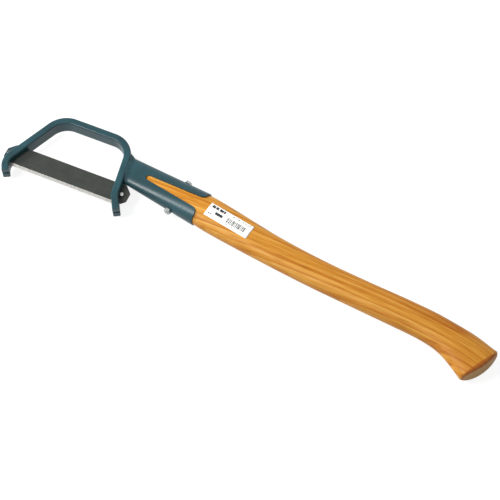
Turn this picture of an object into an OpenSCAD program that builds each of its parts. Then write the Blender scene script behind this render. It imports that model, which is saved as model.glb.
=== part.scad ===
// Brush axe: a steel bow holds a thin strip blade, and a sheet steel socket carries a curved wooden handle.
// The axe lies on its side. +X runs along the handle towards the butt, -Y is the cutting side, +Z is up.
// The origin is on the handle's axis, at the middle of the through bolt.
// The head frame (u, v) is centred on the blade: u along the blade towards the handle, v towards the back.

/* [Head] */
// Blade centre to the through bolt, along the handle
head_reach = 146; // [135:1:175]
// Blade's rear edge below the handle's axis, towards the cutting side
blade_back_drop = 33; // [29:0.5:36]
// Angle between the blade and the handle
head_tilt = 8.4; // [4:0.2:12]

/* [Bow] */
// Thickness of the flat bar, in the plane of the bow
bar_t = 9.8; // [7.5:0.1:11.5]
// Width of the flat bar
bar_w = 20; // [15:0.5:24]
// Chamfer along the bar's long edges
bar_chamfer = 1.2; // [0.4:0.1:2]
// Blade centre line to the middle of the bow's back
bow_depth = 74; // [62:1:90]
// Corner of the back on the toe side, measured from the blade's middle
toe_back_u = 42.4; // [34:0.2:52]
// Corner of the back on the handle side
heel_back_u = 61.5; // [52:0.5:66]
// Radius of both back corners, on the bar's centre line
back_corner_r = 30.5; // [24:0.5:35]
// Bend in the toe leg, measured from the blade's middle
toe_bend_u = 82.8; // [74:0.1:90]
// Bend in the heel leg
heel_bend_u = 75.2; // [70:0.2:80]
// The toe leg's bend lies this far in front of the blade's centre line
toe_bend_reach = 14; // [12:0.5:15]
// The heel leg's bend lies this far in front of the blade's centre line
heel_bend_reach = 6; // [4.5:0.5:7.5]
// Radius of both bends, on the bar's centre line
bend_r = 20; // [16:0.5:22]
// End of the toe leg, measured from the blade's middle
toe_end_u = 74.4; // [70:0.1:90]
// End of the heel leg
heel_end_u = 87.3; // [80:0.1:98]
// The toe leg ends this far in front of the blade's centre line
toe_leg_reach = 29; // [27:0.5:34]
// The heel leg ends this far in front of the blade's centre line
heel_leg_reach = 26; // [23:0.5:32]

/* [Blade] */
// Width of the blade strip
blade_w = 31.4; // [26:0.2:37]
// Thickness of the blade strip
blade_t = 2; // [1.6:0.1:2.4]
// Width of the ground edge bevel
bevel_w = 3.8; // [2:0.1:6]
// Thickness left at the cutting edge
edge_t = 0.3; // [0.2:0.05:0.6]
// Blade left outside the heel pin
heel_tang_len = 9.2; // [8:0.1:12]
// Blade left outside the toe pin
toe_tang_len = 4.6; // [4:0.1:8]
// Corner cut of each tang
tang_chamfer = 9.2; // [6:0.1:11]
// Clearance between the blade and its slots in the legs
slot_gap = 0.2; // [0.1:0.05:0.3]

/* [Pins] */
// Diameter of each blade pin's shank
pin_d = 4.6; // [3.8:0.1:5]
// Diameter of each blade pin's head
pin_head_d = 5.8; // [5.4:0.1:7]
// Height of the head above the blade
pin_head_h = 3.6; // [2:0.1:5]
// Shank below the blade
pin_below = 4; // [2:0.1:6]
// Radial clearance of a pin in its hole
pin_gap = 0.08; // [0.02:0.01:0.1]
// Gap between a pin's head and the leg that it bears on
pin_seat_gap = 0.3; // [0.2:0.05:0.4]

/* [Socket] */
// Through bolt to the socket's mouth
mouth_x = 36.5; // [32:0.5:46]
// Half width of the socket at its mouth
mouth_a = 24.1; // [23:0.1:26]
// Half thickness of the socket at its mouth
mouth_b = 17; // [15:0.1:19]
// Half width of the socket where it meets the bow
root_a = 19.3; // [17:0.1:21]
// Half thickness of the socket where it meets the bow
root_b = 7.6; // [7:0.1:9]
// Sheet thickness of the socket
wall = 1.6; // [1.2:0.1:2]
// Gap between the handle and the socket
fit_gap = 0.2; // [0.1:0.05:0.3]
// Through bolt to the rounded tip of the V opening
v_tip_x = 50; // [40:0.5:56]
// Radius of that tip
v_tip_r = 3.6; // [2.5:0.1:4.5]
// Half width of the V opening at the mouth
v_mouth_half = 9.6; // [7:0.1:12]
// Radius of the cheeks' corners beside the V opening
cheek_r = 8; // [5:0.5:9]
// Width of the weld fillet along the socket
weld_run = 6.5; // [3:0.1:7]
// Height of the weld fillet on the socket's rear edge
weld_rear = 4; // [2:0.1:4.5]
// Height of the weld fillet on the socket's front edge, beside the blade
weld_front = 1.2; // [0.8:0.1:1.4]
// Height of the weld fillet on the socket's flat faces
weld_top = 1.1; // [0.6:0.1:1.3]

/* [Fasteners] */
// Diameter of the through bolt
bolt_d = 5; // [4.5:0.1:6]
// Width across the flats of its head and nut
hex_af = 9; // [7.5:0.1:10]
// Height of the bolt's head
bolt_head_h = 3.2; // [2.5:0.1:4]
// Height of the nut
nut_h = 4.4; // [3.5:0.1:5]
// Thread left outside the nut
bolt_tail = 1.4; // [0.8:0.1:2.5]
// Clearance of the bolt in its holes
bolt_gap = 0.1; // [0.05:0.01:0.2]
// Clearance of the thread in the nut
thread_gap = 0.05; // [0.02:0.01:0.1]

/* [Handle] */
// Through bolt to the middle of the butt's end face
butt_x = 454.5; // [375:0.5:545]
// How far the butt's middle is below the axis
butt_drop = 9.8; // [6:0.1:14]
// Half width of the butt's end face
butt_a = 30; // [26:0.2:34]
// Half thickness of the butt's end face
butt_b = 14; // [12:0.2:16]
// Slope of the butt's end face
butt_slope = 22.6; // [12:0.2:28]
// Bulge of the butt's end face at its middle
butt_dome = 4.6; // [0:0.2:7]
// Rounding of the butt's rim
butt_round = 3.5; // [2:0.1:5]
// Half width of the handle's waist
waist_a = 19.6; // [17:0.1:22]
// Half thickness of the handle's waist
waist_b = 13.6; // [12:0.1:15]
// Half width of the swell just behind the socket
swell_a = 23.2; // [22.5:0.1:25]
// Half thickness of that swell
swell_b = 15.2; // [14:0.1:16.5]
// Through bolt to the handle's front end inside the socket
tongue_x = 62; // [56:0.5:66]

/* [Label] */
// Length of the paper label
label_l = 66; // [55:0.5:80]
// Width of the paper label
label_w = 20.2; // [15:0.2:24]
// Thickness of the paper label
label_t = 0.25; // [0.15:0.05:0.4]
// Through bolt to the label's middle
label_x = 81; // [77:0.5:95]

/* [Hidden] */
$fn = 96;
teal = [0.22, 0.37, 0.41];
steel_dark = [0.28, 0.30, 0.28];
zinc = [0.76, 0.78, 0.79];
wood = [0.85, 0.58, 0.28];
paper = [0.95, 0.95, 0.93];
big = 400;
cut_over = 1;

// The blade's centre line lies half its width in front of its rear edge, which keeps clear of the socket
head_drop = blade_back_drop + blade_w / 2;

// Points of the bow's centre line in the head frame, from the heel leg's end to the toe leg's end
bow_path = [
    [heel_end_u, -heel_leg_reach],
    [heel_bend_u, -heel_bend_reach],
    [heel_back_u, bow_depth],
    [-toe_back_u, bow_depth],
    [-toe_bend_u, -toe_bend_reach],
    [-toe_end_u, -toe_leg_reach]
];
bow_radii = [0, bend_r, back_corner_r, back_corner_r, bend_r, 0];

// Directions, tangent lengths and turns along a path of straight runs and round bends
function unit(p) = p / norm(p);
function run_dir(path, i) = unit(path[i + 1] - path[i]);
function turn_at(path, i) =
    let (a = run_dir(path, i - 1), b = run_dir(path, i))
    atan2(a.x * b.y - a.y * b.x, a * b);
function is_end(path, i) = i == 0 || i == len(path) - 1;
function tangent_len(path, radii, i) = is_end(path, i) ? 0 : radii[i] * tan(abs(turn_at(path, i)) / 2);
function left_of(d) = [-d.y, d.x];

// The heel leg's outer face, which the socket and the heel pin meet
heel_dir = unit(bow_path[1] - bow_path[2]);
heel_out = left_of(heel_dir);
heel_face_point = bow_path[2] + heel_out * bar_t / 2;
toe_dir = unit(bow_path[4] - bow_path[3]);
toe_out = -left_of(toe_dir);
toe_face_point = bow_path[3] + toe_out * bar_t / 2;

// Where a pin's axis stands so that its head bears on a leg's outer face: the blade's centre line, v = 0
function pin_u(face_point, dir, out) =
    let (p = face_point + out * (pin_head_d / 2 + pin_seat_gap)) p.x - dir.x * p.y / dir.y;
heel_pin_u = pin_u(heel_face_point, heel_dir, heel_out);
toe_pin_u = pin_u(toe_face_point, toe_dir, toe_out);

// Centre of the round back corner on the heel side
heel_turn = abs(turn_at(bow_path, 2));
heel_corner_centre = bow_path[2] + heel_dir * back_corner_r * tan(heel_turn / 2) - heel_out * back_corner_r;

// Head frame to part frame, and back
function to_part(p) = [
    -head_reach + p.x * cos(head_tilt) - p.y * sin(head_tilt),
    -head_drop + p.x * sin(head_tilt) + p.y * cos(head_tilt)
];
heel_face_at = to_part(heel_face_point);
heel_face_dir = to_part(heel_face_point + heel_dir) - heel_face_at;
heel_corner_at = to_part(heel_corner_centre);
heel_corner_start = to_part(heel_face_point + heel_dir * back_corner_r * tan(heel_turn / 2));
// X of the bow's outer face at a given Y: straight along the heel leg, then round the corner
function heel_face_x(y) =
    y < heel_corner_start.y
    ? heel_face_at.x + (y - heel_face_at.y) * heel_face_dir.x / heel_face_dir.y
    : heel_corner_at.x + sqrt(pow(back_corner_r + bar_t / 2, 2) - pow(y - heel_corner_at.y, 2));

// The socket tapers evenly from the bow to its mouth
root_x = heel_face_x(0);
function socket_a(x) = root_a + (mouth_a - root_a) * (x - root_x) / (mouth_x - root_x);
function socket_b(x) = root_b + (mouth_b - root_b) * (x - root_x) / (mouth_x - root_x);

// Cross section: an oval with slightly flattened sides
oval_power = 2.3;
oval_sides = 40;
function oval_arm(c) = sign(c) * pow(abs(c), 2 / oval_power);
function oval_point(a, b, t) = [a * oval_arm(cos(t)), b * oval_arm(sin(t))];
function oval_height(a, b, y) = b * pow(1 - pow(min(abs(y) / a, 1), oval_power), 1 / oval_power);

// Control stations of the handle behind the socket: x, centre y, half width, half thickness, slope of the ring
handle_span = butt_x - mouth_x;
function along(k) = mouth_x + handle_span * k;
tongue_a = socket_a(mouth_x) - wall - fit_gap;
tongue_b = socket_b(mouth_x) - wall - fit_gap;
stations = [
    [mouth_x, 0, tongue_a, tongue_b, 0],
    [mouth_x + 16, -0.8, swell_a, swell_b, 0],
    [along(0.13), -2.2, swell_a - 0.9, swell_b - 0.5, 0],
    [along(0.27), -3.8, waist_a + 0.8, waist_b + 0.3, 0],
    [along(0.42), -2.9, waist_a + 0.1, waist_b, 0],
    [along(0.57), 0.5, waist_a + 0.2, waist_b, 0],
    [along(0.70), 4.2, waist_a + 0.8, waist_b, 0],
    [along(0.80), 6.1, waist_a + 1.1, waist_b, 0],
    [along(0.87), 4.3, waist_a + 2.4, waist_b + 0.2, butt_slope * 0.24],
    [along(0.93), -0.6, butt_a - 4.2, butt_b, butt_slope * 0.6],
    [butt_x, -butt_drop, butt_a, butt_b, butt_slope]
];

// Smooth curve through the stations, column k, at x
function slope_at(i, k) =
    let (lo = max(i - 1, 0), hi = min(i + 1, len(stations) - 1))
    (stations[hi][k] - stations[lo][k]) / (stations[hi][0] - stations[lo][0]);
function span_of(x, i = 0) = i >= len(stations) - 2 || x <= stations[i + 1][0] ? i : span_of(x, i + 1);
function handle_at(x, k) =
    let (i = span_of(x), x0 = stations[i][0], w = stations[i + 1][0] - x0, t = (x - x0) / w)
    stations[i][k] * (2 * t * t * t - 3 * t * t + 1) + stations[i + 1][k] * (3 * t * t - 2 * t * t * t)
    + w * slope_at(i, k) * (t * t * t - 2 * t * t + t) + w * slope_at(i + 1, k) * (t * t * t - t * t);

// One ring of the handle: centre, half sizes, slope and how far its middle bulges along +X
function ring(c, a, b, slope, dome = 0) = [
    for (i = [0:oval_sides - 1])
        let (
            p = oval_point(a, b, 360 * i / oval_sides),
            bulge = dome * (1 - pow(p.x / a, 2))
        )
        [c.x + p.x * sin(slope) + bulge * cos(slope), c.y + p.x * cos(slope) - bulge * sin(slope), p.y]
];

// Closed skin over rings of equal length. A loop joins its last ring to its first; otherwise each end is
// closed by strips across the ring, which stay flat on a ring that bulges.
module skin(rings, loop = false) {
    n = len(rings[0]);
    m = len(rings);
    points = [for (r = rings) each r];
    sides = [
        for (j = [0:loop ? m - 1 : m - 2], i = [0:n - 1])
            let (
                k = (i + 1) % n,
                next = (j + 1) % m,
                a = j * n + i,
                b = j * n + k,
                c = next * n + k,
                d = next * n + i
            )
            each [[a, c, b], [a, d, c]]
    ];
    strips = [
        for (i = [0:ceil(n / 2) - 1])
            let (far = (n - i) % n, near = n - i - 1)
            each [if (i > 0) [i, near, far], if (near > i + 1) [i, i + 1, near]]
    ];
    first = strips;
    last = [for (f = strips) [for (k = [2:-1:0]) (m - 1) * n + f[k]]];
    polyhedron(points, loop ? sides : concat(sides, first, last), convexity = 6);
}

module in_head_frame() {
    translate([-head_reach, -head_drop, 0]) rotate(head_tilt) children();
}

// Corners of the bow's flat bar section, with chamfered long edges
bar_corners =
    let (t = bar_t / 2, w = bar_w / 2, c = bar_chamfer)
    [[t, w - c], [t - c, w], [c - t, w], [-t, w - c], [-t, c - w], [c - t, -w], [t - c, -w], [t, c - w]];

// That section at a place on the bow's centre line, square to a direction
function bar_ring(place, d) = [for (p = bar_corners) let (q = place + left_of(d) * p.x) [q.x, q.y, p.y]];

// The sections round a bend, turned evenly about its centre
bend_step = 3;
function rotated(p, angle) = [p.x * cos(angle) - p.y * sin(angle), p.x * sin(angle) + p.y * cos(angle)];
function bend_rings(i) =
    let (
        d = run_dir(bow_path, i - 1),
        turn = turn_at(bow_path, i),
        arm = left_of(d) * bow_radii[i] * sign(turn),
        centre = bow_path[i] - d * tangent_len(bow_path, bow_radii, i) + arm,
        n = ceil(abs(turn) / bend_step)
    )
    [for (k = [0:n]) bar_ring(centre - rotated(arm, turn * k / n), rotated(d, turn * k / n))];

// The slots run from each leg's end back to the blade's rear edge
module blade_slots() {
    depth = blade_w / 2 + slot_gap;
    height = blade_t + 2 * slot_gap;
    translate([-big / 2, -big, -height / 2]) cube([big, big + depth, height]);
}

module bow_frame() {
    last = len(bow_path) - 1;
    color(teal) in_head_frame() difference() {
        skin(concat(
            [bar_ring(bow_path[0], run_dir(bow_path, 0))],
            [for (i = [1:last - 1]) each bend_rings(i)],
            [bar_ring(bow_path[last], run_dir(bow_path, last - 1))]
        ));
        blade_slots();
    }
}

// Everything that the bow's outside encloses, next to the socket
module inside_the_bow() {
    along_leg = back_corner_r * tan(heel_turn / 2);
    corner = heel_face_point + heel_dir * along_leg;
    in_head_frame() translate([0, 0, -big / 2]) linear_extrude(big) {
        polygon([
            corner, corner + heel_dir * big,
            corner + heel_dir * big - heel_out * big, corner - heel_out * big
        ]);
        translate(heel_corner_centre) circle(back_corner_r + bar_t / 2);
    }
}

module blade_outline() {
    half_w = blade_w / 2;
    heel = heel_pin_u + heel_tang_len;
    toe = toe_pin_u - toe_tang_len;
    c = tang_chamfer;
    polygon([
        [toe + c, -half_w], [heel - c, -half_w], [heel, c - half_w], [heel, half_w - c],
        [heel - c, half_w], [toe + c, half_w], [toe, half_w - c], [toe, c - half_w]
    ]);
}

// Section of the strip across its width, with the edge ground from both sides
module blade_section() {
    half_w = blade_w / 2;
    half_t = blade_t / 2;
    polygon([
        [-half_w, -edge_t / 2], [bevel_w - half_w, -half_t], [half_w, -half_t],
        [half_w, half_t], [bevel_w - half_w, half_t], [-half_w, edge_t / 2]
    ]);
}

module blade() {
    color(steel_dark) in_head_frame() difference() {
        intersection() {
            translate([0, 0, -blade_t]) linear_extrude(2 * blade_t) blade_outline();
            translate([-big / 2, 0, 0]) rotate([90, 0, 90]) linear_extrude(big) blade_section();
        }
        for (u = [heel_pin_u, toe_pin_u])
            translate([u, 0, -blade_t]) cylinder(d = pin_d + 2 * pin_gap, h = 2 * blade_t);
    }
}

// A blade pin: chamfered head on top of the tang, shank through it
module blade_pin(u) {
    rim = 0.6;
    color(zinc) in_head_frame() translate([u, 0, 0]) rotate_extrude() polygon([
        [0, -blade_t / 2 - pin_below], [pin_d / 2 - rim, -blade_t / 2 - pin_below],
        [pin_d / 2, rim - blade_t / 2 - pin_below], [pin_d / 2, blade_t / 2],
        [pin_head_d / 2, blade_t / 2], [pin_head_d / 2, blade_t / 2 + pin_head_h - rim],
        [pin_head_d / 2 - rim, blade_t / 2 + pin_head_h], [0, blade_t / 2 + pin_head_h]
    ]);
}

module heel_pin() {
    blade_pin(heel_pin_u);
}

module toe_pin() {
    blade_pin(toe_pin_u);
}

// Evenly spaced places from one x to another, about a ring step apart
ring_step = 12;
function steps(from_x, to_x) =
    let (n = ceil((to_x - from_x) / ring_step))
    [for (j = [0:n]) from_x + (to_x - from_x) * j / n];

// The socket's tapered body, grown outwards by a given amount
module socket_body(grow, from_x, to_x) {
    skin([for (x = steps(from_x, to_x)) ring([x, 0], socket_a(x) + grow, socket_b(x) + grow, 0)]);
}

// The V opening between the two cheeks, cut through both flat faces, with its corners rounded at the mouth
module v_opening() {
    flare = atan2(v_mouth_half - v_tip_r, mouth_x + v_tip_x);
    tip = [v_tip_r - v_tip_x, 0];
    edge = [-sin(flare), cos(flare)] * v_tip_r;
    rise = tan(flare);
    start_y = tip.y + edge.y;
    start_x = tip.x + edge.x;
    end_y = start_y + rise * (mouth_x + cut_over - start_x);
    // The corner circle touches the V's edge and the mouth
    round_x = mouth_x - cheek_r;
    round_y = start_y + rise * (round_x - start_x) + cheek_r / cos(flare);
    touch = [round_x, round_y] + [sin(flare), -cos(flare)] * cheek_r;
    linear_extrude(big, center = true) {
        translate(tip) circle(v_tip_r);
        polygon([
            [start_x, start_y], [mouth_x + cut_over, end_y],
            [mouth_x + cut_over, -end_y], [start_x, -start_y]
        ]);
        for (side = [-1, 1]) scale([1, side]) difference() {
            polygon([
                touch, [mouth_x + cut_over, touch.y - cut_over],
                [mouth_x + cut_over, round_y], [round_x, round_y]
            ]);
            translate([round_x, round_y]) circle(cheek_r);
        }
    }
}

module bolt_hole() {
    rotate([90, 0, 0]) cylinder(d = bolt_d + 2 * bolt_gap, h = 4 * mouth_a, center = true);
}

module socket() {
    behind = root_x - mouth_a;
    color(teal) difference() {
        socket_body(0, behind, mouth_x);
        socket_body(-wall, behind - cut_over, mouth_x + cut_over);
        inside_the_bow();
        v_opening();
        bolt_hole();
    }
}

// A point of the weld fillet at an angle round the socket, a distance from the bow and a share of its height
weld_gap = 0.06;
function weld_point(t, d, share, x, tries = 3) =
    let (
        side = weld_gap + share * (cos(t) > 0 ? weld_rear : weld_front),
        p = oval_point(socket_a(x) + side, socket_b(x) + weld_gap + weld_top * share, t),
        at = heel_face_x(p.x) + weld_gap + d
    )
    tries == 0 ? [at, p.x, p.y] : weld_point(t, d, share, at, tries - 1);

// The hollow fillet's section: fading out on the socket, its hollow, its crest, then down the bow's face
weld_section = [[weld_run, 0], [weld_run * 0.4, 0.42], [0, 1], [0, 0.67], [0, 0.33], [0, 0]];

module socket_weld() {
    color(teal) skin([
        for (i = [0:oval_sides - 1]) [
            for (w = weld_section) weld_point(360 * i / oval_sides, w.x, w.y, root_x)
        ]
    ], loop = true);
}

// Nut blank or bolt head: a hexagon whose outer corners are turned off
module hex_blank(h) {
    corner_r = hex_af / sqrt(3);
    turned = corner_r - hex_af / 2;
    intersection() {
        cylinder(r = corner_r, h = h, $fn = 6);
        rotate_extrude() polygon([
            [0, 0], [corner_r, 0], [corner_r, h - turned * 0.6], [hex_af / 2 - 0.2, h], [0, h]
        ]);
    }
}

// The head and the nut bear on the socket's widest line, clear of its taper
seat_y = socket_a(hex_af / sqrt(3)) + bolt_gap / 2;

module through_bolt() {
    tail_y = seat_y + nut_h + bolt_tail;
    color(zinc) {
        translate([0, seat_y, 0]) rotate([-90, 0, 0]) hex_blank(bolt_head_h);
        translate([0, -tail_y, 0]) rotate([-90, 0, 0])
            cylinder(d = bolt_d, h = tail_y + seat_y + bolt_head_h / 2);
    }
}

module nut() {
    color(zinc) translate([0, -seat_y, 0]) rotate([90, 0, 0]) difference() {
        hex_blank(nut_h);
        translate([0, 0, -cut_over]) cylinder(d = bolt_d + 2 * thread_gap, h = nut_h + 2 * cut_over);
    }
}

// Rings of the handle: the tongue in the socket, the smooth curve, then the rounded rim of the butt
tongue_round = 2;
butt_normal = [cos(butt_slope), -sin(butt_slope)];
function tongue_ring(x, shrink) =
    ring([x, 0], socket_a(x) - wall - fit_gap - shrink, socket_b(x) - wall - fit_gap - shrink, 0);
function curve_rings() = [
    for (x = steps(mouth_x, butt_x - butt_round * 2))
        ring([x, handle_at(x, 1)], handle_at(x, 2), handle_at(x, 3), handle_at(x, 4))
];
function rim_rings() = [
    for (t = [0:30:90])
        let (back = butt_round * (1 - sin(t)), shrink = butt_round * (1 - cos(t)))
        ring([butt_x, -butt_drop] - butt_normal * back, butt_a - shrink, butt_b - shrink, butt_slope, butt_dome)
];

module handle() {
    color(wood) difference() {
        skin(concat(
            [tongue_ring(-tongue_x, tongue_round)],
            [for (x = steps(tongue_round - tongue_x, mouth_x - ring_step / 2)) tongue_ring(x, 0)],
            curve_rings(),
            rim_rings()
        ));
        bolt_hole();
    }
}

// The label follows the handle's curved top
label_cols = 10;
label_rows = 8;
label_lift = 0.05;
label_slope = atan(slope_at(2, 1));
label_y = handle_at(label_x, 1);
function on_handle(p, lift) = [
    p.x, p.y, oval_height(handle_at(p.x, 2), handle_at(p.x, 3), p.y - handle_at(p.x, 1)) + lift
];
function label_point(i, j) =
    let (s = label_l * (i / label_cols - 0.5), w = label_w * (j / label_rows - 0.5))
    [
        label_x + s * cos(label_slope) - w * sin(label_slope),
        label_y + s * sin(label_slope) + w * cos(label_slope)
    ];
function label_loop(i, lift_low, lift_high) = concat(
    [for (j = [0:label_rows]) on_handle(label_point(i, j), lift_low)],
    [for (j = [label_rows:-1:0]) on_handle(label_point(i, j), lift_high)]
);

module label() {
    color(paper) skin([for (i = [0:label_cols]) label_loop(i, label_lift, label_lift + label_t)]);
}

bow_frame();
blade();
heel_pin();
toe_pin();
socket();
socket_weld();
handle();
through_bolt();
nut();
label();
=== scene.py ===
# %% [markdown]
# # A brush axe in Blender
# A brush axe is a long-handled tool for clearing brushwood. A flat steel bar is bent into an open bow, a thin
# strip blade is pinned across the bow's two legs, and a sheet steel socket joins the bow to an ash handle.
# The measured model of the axe is already made and packed. This lesson loads it as a fixed frame, builds a
# finer visible piece for each part, and gives every surface the finish of its real material.

import math

import bmesh
import bpy
from mathutils import Matrix, Quaternion, Vector


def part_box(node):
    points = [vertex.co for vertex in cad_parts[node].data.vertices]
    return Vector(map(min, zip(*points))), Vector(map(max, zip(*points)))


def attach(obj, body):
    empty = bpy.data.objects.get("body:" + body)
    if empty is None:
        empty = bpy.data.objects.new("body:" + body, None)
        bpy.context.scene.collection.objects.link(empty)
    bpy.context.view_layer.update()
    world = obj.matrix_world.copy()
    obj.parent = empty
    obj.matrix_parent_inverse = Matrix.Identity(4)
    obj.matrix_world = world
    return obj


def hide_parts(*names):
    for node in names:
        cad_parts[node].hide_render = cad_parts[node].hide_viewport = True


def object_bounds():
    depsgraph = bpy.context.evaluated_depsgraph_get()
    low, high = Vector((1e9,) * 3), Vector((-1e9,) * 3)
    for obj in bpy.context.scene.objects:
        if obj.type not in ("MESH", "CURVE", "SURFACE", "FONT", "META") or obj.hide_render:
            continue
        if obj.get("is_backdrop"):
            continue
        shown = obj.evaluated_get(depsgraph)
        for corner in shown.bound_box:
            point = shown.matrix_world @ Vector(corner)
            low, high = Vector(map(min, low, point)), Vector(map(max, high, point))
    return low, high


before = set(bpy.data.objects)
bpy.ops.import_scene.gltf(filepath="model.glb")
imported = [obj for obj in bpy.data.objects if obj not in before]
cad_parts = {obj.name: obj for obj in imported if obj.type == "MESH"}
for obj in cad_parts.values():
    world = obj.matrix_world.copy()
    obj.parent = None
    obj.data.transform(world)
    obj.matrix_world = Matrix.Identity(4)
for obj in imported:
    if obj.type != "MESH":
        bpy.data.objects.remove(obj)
cad_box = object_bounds()
print("nodes:", ", ".join(sorted(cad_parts)))
print("overall size, mm:", [round(s * 1000, 1) for s in cad_box[1] - cad_box[0]])

# %% [markdown]
# ## The camera
# The photograph looks down on the axe from the front right. It was taken from far away with a long lens, so
# the handle hardly narrows towards its end. A camera could be moved by eye until the picture fits, but here
# its numbers were solved from points whose places are known: the point that it looks at, its compass
# direction, its height above the horizon, its small roll and its distance.

# %% Camera
MM = 0.001
LOOK_AT = Vector((0.122794, -0.017840, 0.0))
AZIMUTH, ELEVATION, ROLL = (math.radians(d) for d in (36.142, 60.158, -3.973))
DISTANCE = 2.3581
LENS_MM = 132.34

towards_camera = Vector((
    math.sin(AZIMUTH) * math.cos(ELEVATION),
    -math.cos(AZIMUTH) * math.cos(ELEVATION),
    math.sin(ELEVATION),
))
camera = bpy.data.objects.new("camera", bpy.data.cameras.new("camera"))
bpy.context.scene.collection.objects.link(camera)
camera.data.lens = LENS_MM
camera.data.sensor_width = 36
camera.location = LOOK_AT + towards_camera * DISTANCE
camera.rotation_mode = "QUATERNION"
camera.rotation_quaternion = (-towards_camera).to_track_quat("-Z", "Y") @ Quaternion((0, 0, 1), ROLL)
camera.data.clip_end = 50
bpy.context.scene.camera = camera
bpy.context.scene.view_settings.view_transform = "Standard"
print("camera at", [round(c, 3) for c in camera.location])

# %% [markdown]
# ## Helpers for materials
# Colours are picked as sRGB hex values, the way a paint chart gives them, but a shader works with linear
# light, so one function converts them. Another adds a shader node, sets its settings and joins its sockets,
# so that each material below reads as a short list of what it is made of. Sockets go by name, or by number
# where a node repeats a name: 1 to 4 of a Map Range are its old and new limits, and 6 and 7 of a Mix are its
# two colours, with the mixed colour at output 2.

# %% Colour and node helpers
def colour(hex_value):
    """An sRGB hex colour such as 'D89743' as linear red, green, blue and alpha."""
    parts = [int(hex_value[i:i + 2], 16) / 255 for i in (0, 2, 4)]
    return [p / 12.92 if p <= 0.04045 else ((p + 0.055) / 1.055) ** 2.4 for p in parts] + [1.0]


def add(tree, kind, sockets=None, stops=None, **settings):
    """Adds one node; its kind goes without ShaderNode. A socket takes a number, a colour or a node's output,
    and stops fill a colour ramp."""
    made = tree.nodes.new("ShaderNode" + kind)
    for name, value in settings.items():
        setattr(made, name, value)
    for name, value in (sockets or {}).items():
        if isinstance(value, bpy.types.NodeSocket):
            tree.links.new(value, made.inputs[name])
        else:
            made.inputs[name].default_value = value
    for i, (place, shade) in enumerate(stops or []):
        ramp = made.color_ramp.elements
        stop = ramp[i] if i < 2 else ramp.new(place)
        stop.position = place
        stop.color = shade if isinstance(shade, list) else [shade, shade, shade, 1.0]
    return made


def new_material(name, **sockets):
    """A material with one Principled shader, whose plain values are set on its own sockets."""
    made = bpy.data.materials.new(name)
    made.use_nodes = True
    shader = made.node_tree.nodes["Principled BSDF"]
    for socket, value in sockets.items():
        shader.inputs[socket.replace("_", " ")].default_value = value
    return made, made.node_tree, shader


def object_points(tree, stretch=(1, 1, 1), turn=(0, 0, 0), shift=(0, 0, 0)):
    """Object coordinates in metres, turned and shifted onto a piece and stretched to its grain."""
    where = add(tree, "TexCoord").outputs["Object"]
    placed = add(tree, "Mapping", {"Vector": where, "Rotation": turn, "Location": shift}).outputs[0]
    return add(tree, "VectorMath", {0: placed, 1: stretch}, operation="MULTIPLY").outputs[0]


def per_mm(size):
    """The scale of a noise pattern whose blotches are about this many millimetres across."""
    return 1.0 / (size * MM)


def lines_apart(gap):
    """The scale of a wave pattern whose lines are this many millimetres apart."""
    return math.pi / 10 / (gap * MM)


def dress(tree, shader, base, height, strength, depth, gloss=None, roughness=None):
    """Gives the shader a colour, a bump and, where a pattern varies the gloss, a range of roughness."""
    tree.links.new(base, shader.inputs["Base Color"])
    bump = add(tree, "Bump", {"Height": height, "Strength": strength, "Distance": depth})
    tree.links.new(bump.outputs[0], shader.inputs["Normal"])
    if gloss is not None:
        at_low, at_high = roughness
        varied = add(tree, "MapRange", {0: gloss, 1: 0.3, 2: 0.7, 3: at_low, 4: at_high})
        tree.links.new(varied.outputs[0], shader.inputs["Roughness"])


print("amber D89743 as linear light:", [round(part, 3) for part in colour("D89743")])

# %% [markdown]
# ## Light
# The photograph is a catalogue picture: soft light all round and a pure white ground. Many lamps could fill
# every shadow, but a world that glows evenly does it at once, and metal reflects it as the white room that
# it was photographed in. The main lamp stands on the left. It shades the round forms and throws the bow's
# shadow onto the blade, and it is kept out of reflections, where it would glare. A softbox higher up at the
# front left draws the highlight along the socket.

# %% World and lamps
AMBIENT = 0.46


def seen_directly(tree):
    """1 for what the camera sees, straight or in a reflection, and 0 for light that bounces about."""
    path = add(tree, "LightPath").outputs
    either = add(
        tree, "Math", {0: path["Is Camera Ray"], 1: path["Is Glossy Ray"]}, operation="MAXIMUM"
    ).outputs[0]
    return add(tree, "Math", {0: either, 1: path["Is Transmission Ray"]}, operation="MAXIMUM").outputs[0]


world = bpy.data.worlds.new("white_studio")
world.use_nodes = True
bpy.context.scene.world = world
sky = world.node_tree
soft = add(sky, "Background", {"Color": colour("F6F8FA"), "Strength": AMBIENT}).outputs[0]
white = add(sky, "Background", {"Color": colour("FFFFFF"), "Strength": 1.0}).outputs[0]
shown = add(sky, "MixShader", {0: seen_directly(sky), 1: soft, 2: white}).outputs[0]
sky.links.new(shown, sky.nodes["World Output"].inputs["Surface"])


def softbox(name, place, aim, size, watts):
    """A rectangular lamp at a place, turned towards the point that it lights."""
    lamp = bpy.data.lights.new(name, "AREA")
    lamp.shape = "RECTANGLE"
    lamp.size, lamp.size_y = size
    lamp.energy = watts
    holder = bpy.data.objects.new(name, lamp)
    bpy.context.scene.collection.objects.link(holder)
    holder.location = place
    holder.rotation_mode = "QUATERNION"
    holder.rotation_quaternion = (Vector(aim) - Vector(place)).to_track_quat("-Z", "Y")
    return holder


main_lamp = softbox("lamp_left", (-2.4, 0.30, 1.40), (0.05, 0, 0), (0.8, 0.8), 98)
main_lamp.visible_glossy = False
highlight_lamp = softbox("lamp_front", (-0.92, -1.06, 1.72), (-0.03, 0, 0), (0.5, 0.6), 33)
print("lamps, watts:", {lamp.name: lamp.data.energy for lamp in (main_lamp, highlight_lamp)})

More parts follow.
